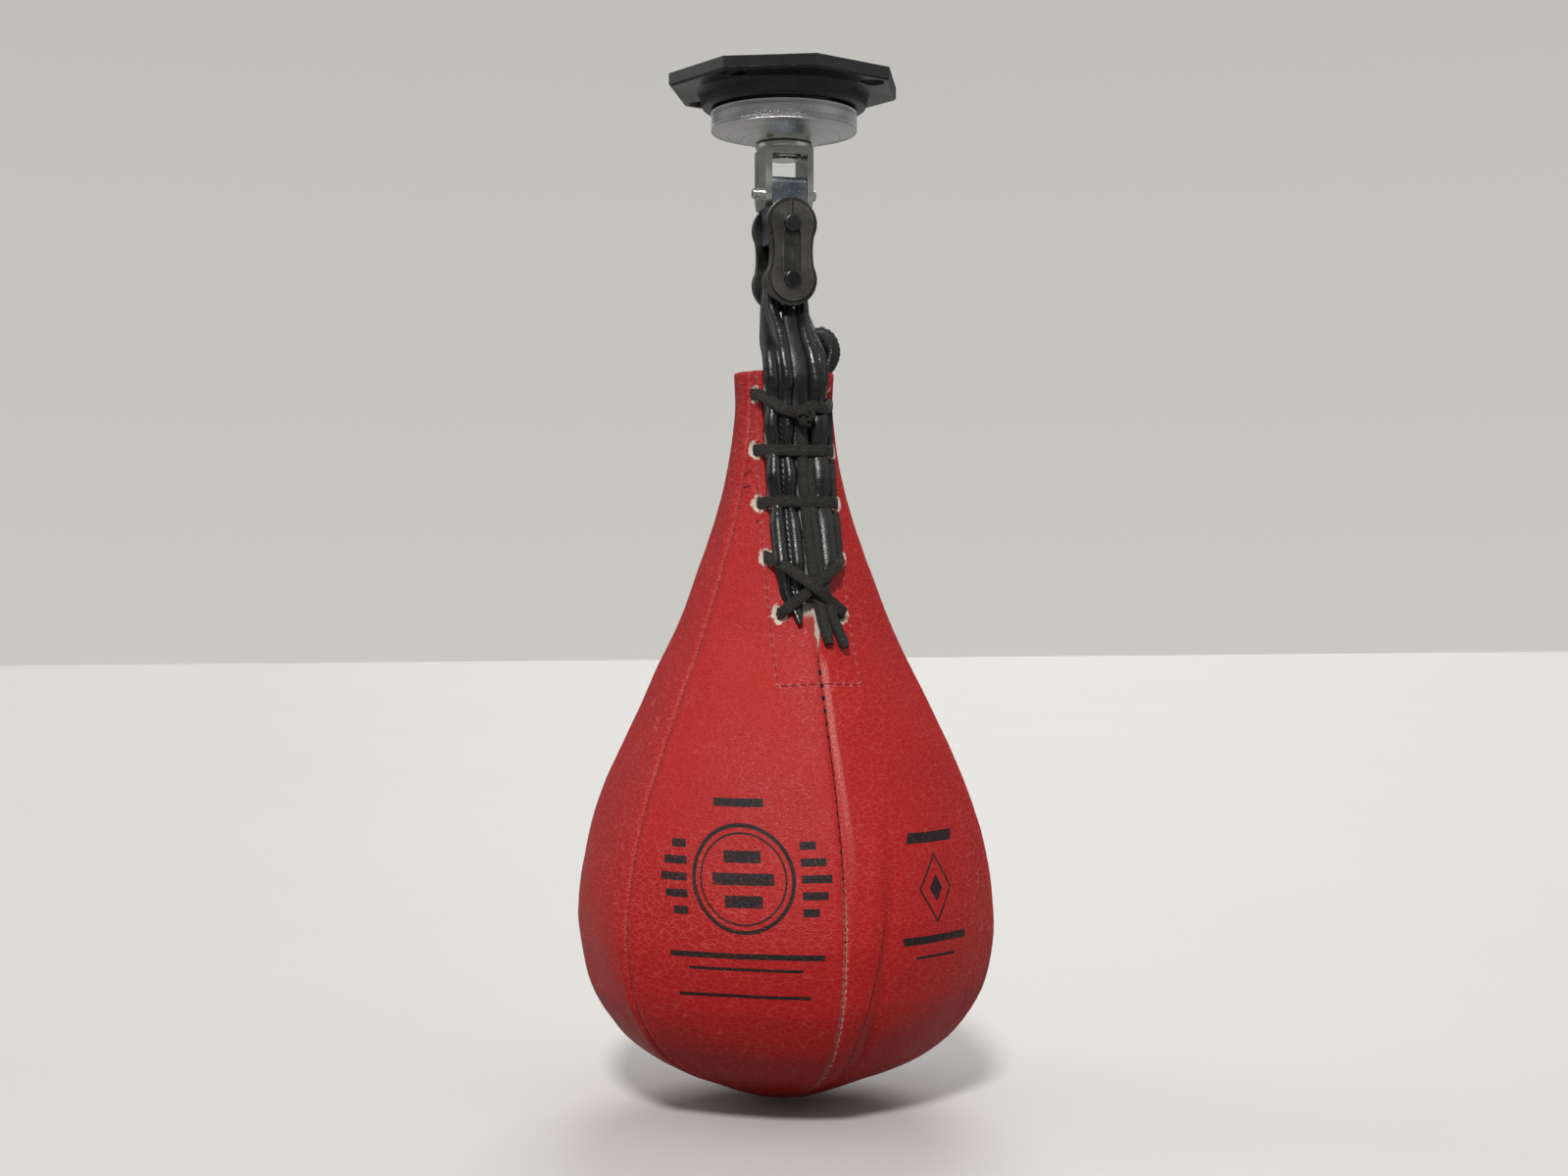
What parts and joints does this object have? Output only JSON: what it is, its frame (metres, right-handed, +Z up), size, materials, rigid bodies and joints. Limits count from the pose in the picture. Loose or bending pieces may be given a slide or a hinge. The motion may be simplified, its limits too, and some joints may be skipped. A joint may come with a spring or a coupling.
{
  "type": "speed bag swivel assembly",
  "caption": "Teardrop leather speed bag with laced neck, hung by straps, chain link and universal joint from a ball-bearing ceiling swivel.",
  "frame": {"origin": "centre of the mounting face, on top of the octagonal plate", "axes": "+Z up, out of the mounting face; the bag hangs along -Z and its laced front faces -Y; the fork pin lies along X and both link pins along Y"},
  "size_m": [0.197, 0.197, 0.4659],
  "materials": {
    "black_plate": "satin black finish on a machined plate",
    "turned_aluminium": "fine lathe-turned face, knurled rim",
    "bearing_steel": "ground and polished",
    "bearing_cage_steel": "pressed sheet steel",
    "spring_steel": "phosphated",
    "zinc_steel": "zinc plated with a pale green-yellow passivation",
    "pin_steel": "bright ground steel",
    "block_steel": "blue zinc plating, scratched",
    "link_steel": "dark gunmetal, semi-gloss",
    "link_pin_steel": "dark oiled steel",
    "clip_steel": "dark tempered spring steel",
    "black_strap_leather": "glossy rolled leather, cracked where bent",
    "black_lace": "flat waxed lace, matt",
    "pale_lining": "undyed cotton backing",
    "red_leather": "pebble grain, semi-gloss",
    "bladder_rubber": "thin moulded rubber",
    "valve_rubber": "moulded rubber"
  },
  "bodies": {
    "mount": {"base_plate": "black_plate", "swivel_cap": "turned_aluminium", "bearing_outer_race": "bearing_steel", "retaining_ring": "spring_steel"},
    "ball_set": {"bearing_balls": "bearing_steel", "bearing_cage": "bearing_cage_steel"},
    "spindle_fork": {"bearing_inner_race": "bearing_steel", "spindle": "zinc_steel", "spindle_washer": "zinc_steel", "spindle_nut": "zinc_steel", "spindle_collar": "zinc_steel", "fork": "zinc_steel", "fork_pin": "pin_steel"},
    "block": {"cross_block": "block_steel"},
    "link": {"link_back_plate": "link_steel", "link_front_plate": "link_steel", "link_pin_upper": "link_pin_steel", "link_pin_lower": "link_pin_steel", "spring_clip": "clip_steel"},
    "bag": {"hang_strap": "black_strap_leather", "side_loop": "black_strap_leather", "lace": "black_lace", "neck_lining": "pale_lining", "panel_front_left": "red_leather", "panel_front_right": "red_leather", "panel_right": "red_leather", "panel_back_right": "red_leather", "panel_back_left": "red_leather", "panel_left": "red_leather", "bladder": "bladder_rubber", "bladder_valve": "valve_rubber"}
  },
  "joints": [
    {"name": "spindle_spin", "type": "hinge", "parent": "mount", "child": "spindle_fork", "pos_m": [0, 0, -0.0168], "axis": [0, 0, 1], "continuous": true},
    {"name": "ball_set_spin", "type": "hinge", "parent": "mount", "child": "ball_set", "pos_m": [0, 0, -0.0168], "axis": [0, 0, 1], "continuous": true},
    {"name": "fork_tilt", "type": "hinge", "parent": "spindle_fork", "child": "block", "pos_m": [0, 0, -0.05254], "axis": [1, 0, 0], "range_deg": [-58, 58]},
    {"name": "link_swing", "type": "hinge", "parent": "block", "child": "link", "pos_m": [0, 0, -0.06754], "axis": [0, 1, 0], "range_deg": [-30, 30]},
    {"name": "strap_swing", "type": "hinge", "parent": "link", "child": "bag", "pos_m": [0, 0, -0.09294], "axis": [0, 1, 0], "range_deg": [-100, 100]}
  ],
  "couplings": [
    {"joint": "ball_set_spin", "follows": "spindle_spin", "ratio": 0.3648}
  ]
}
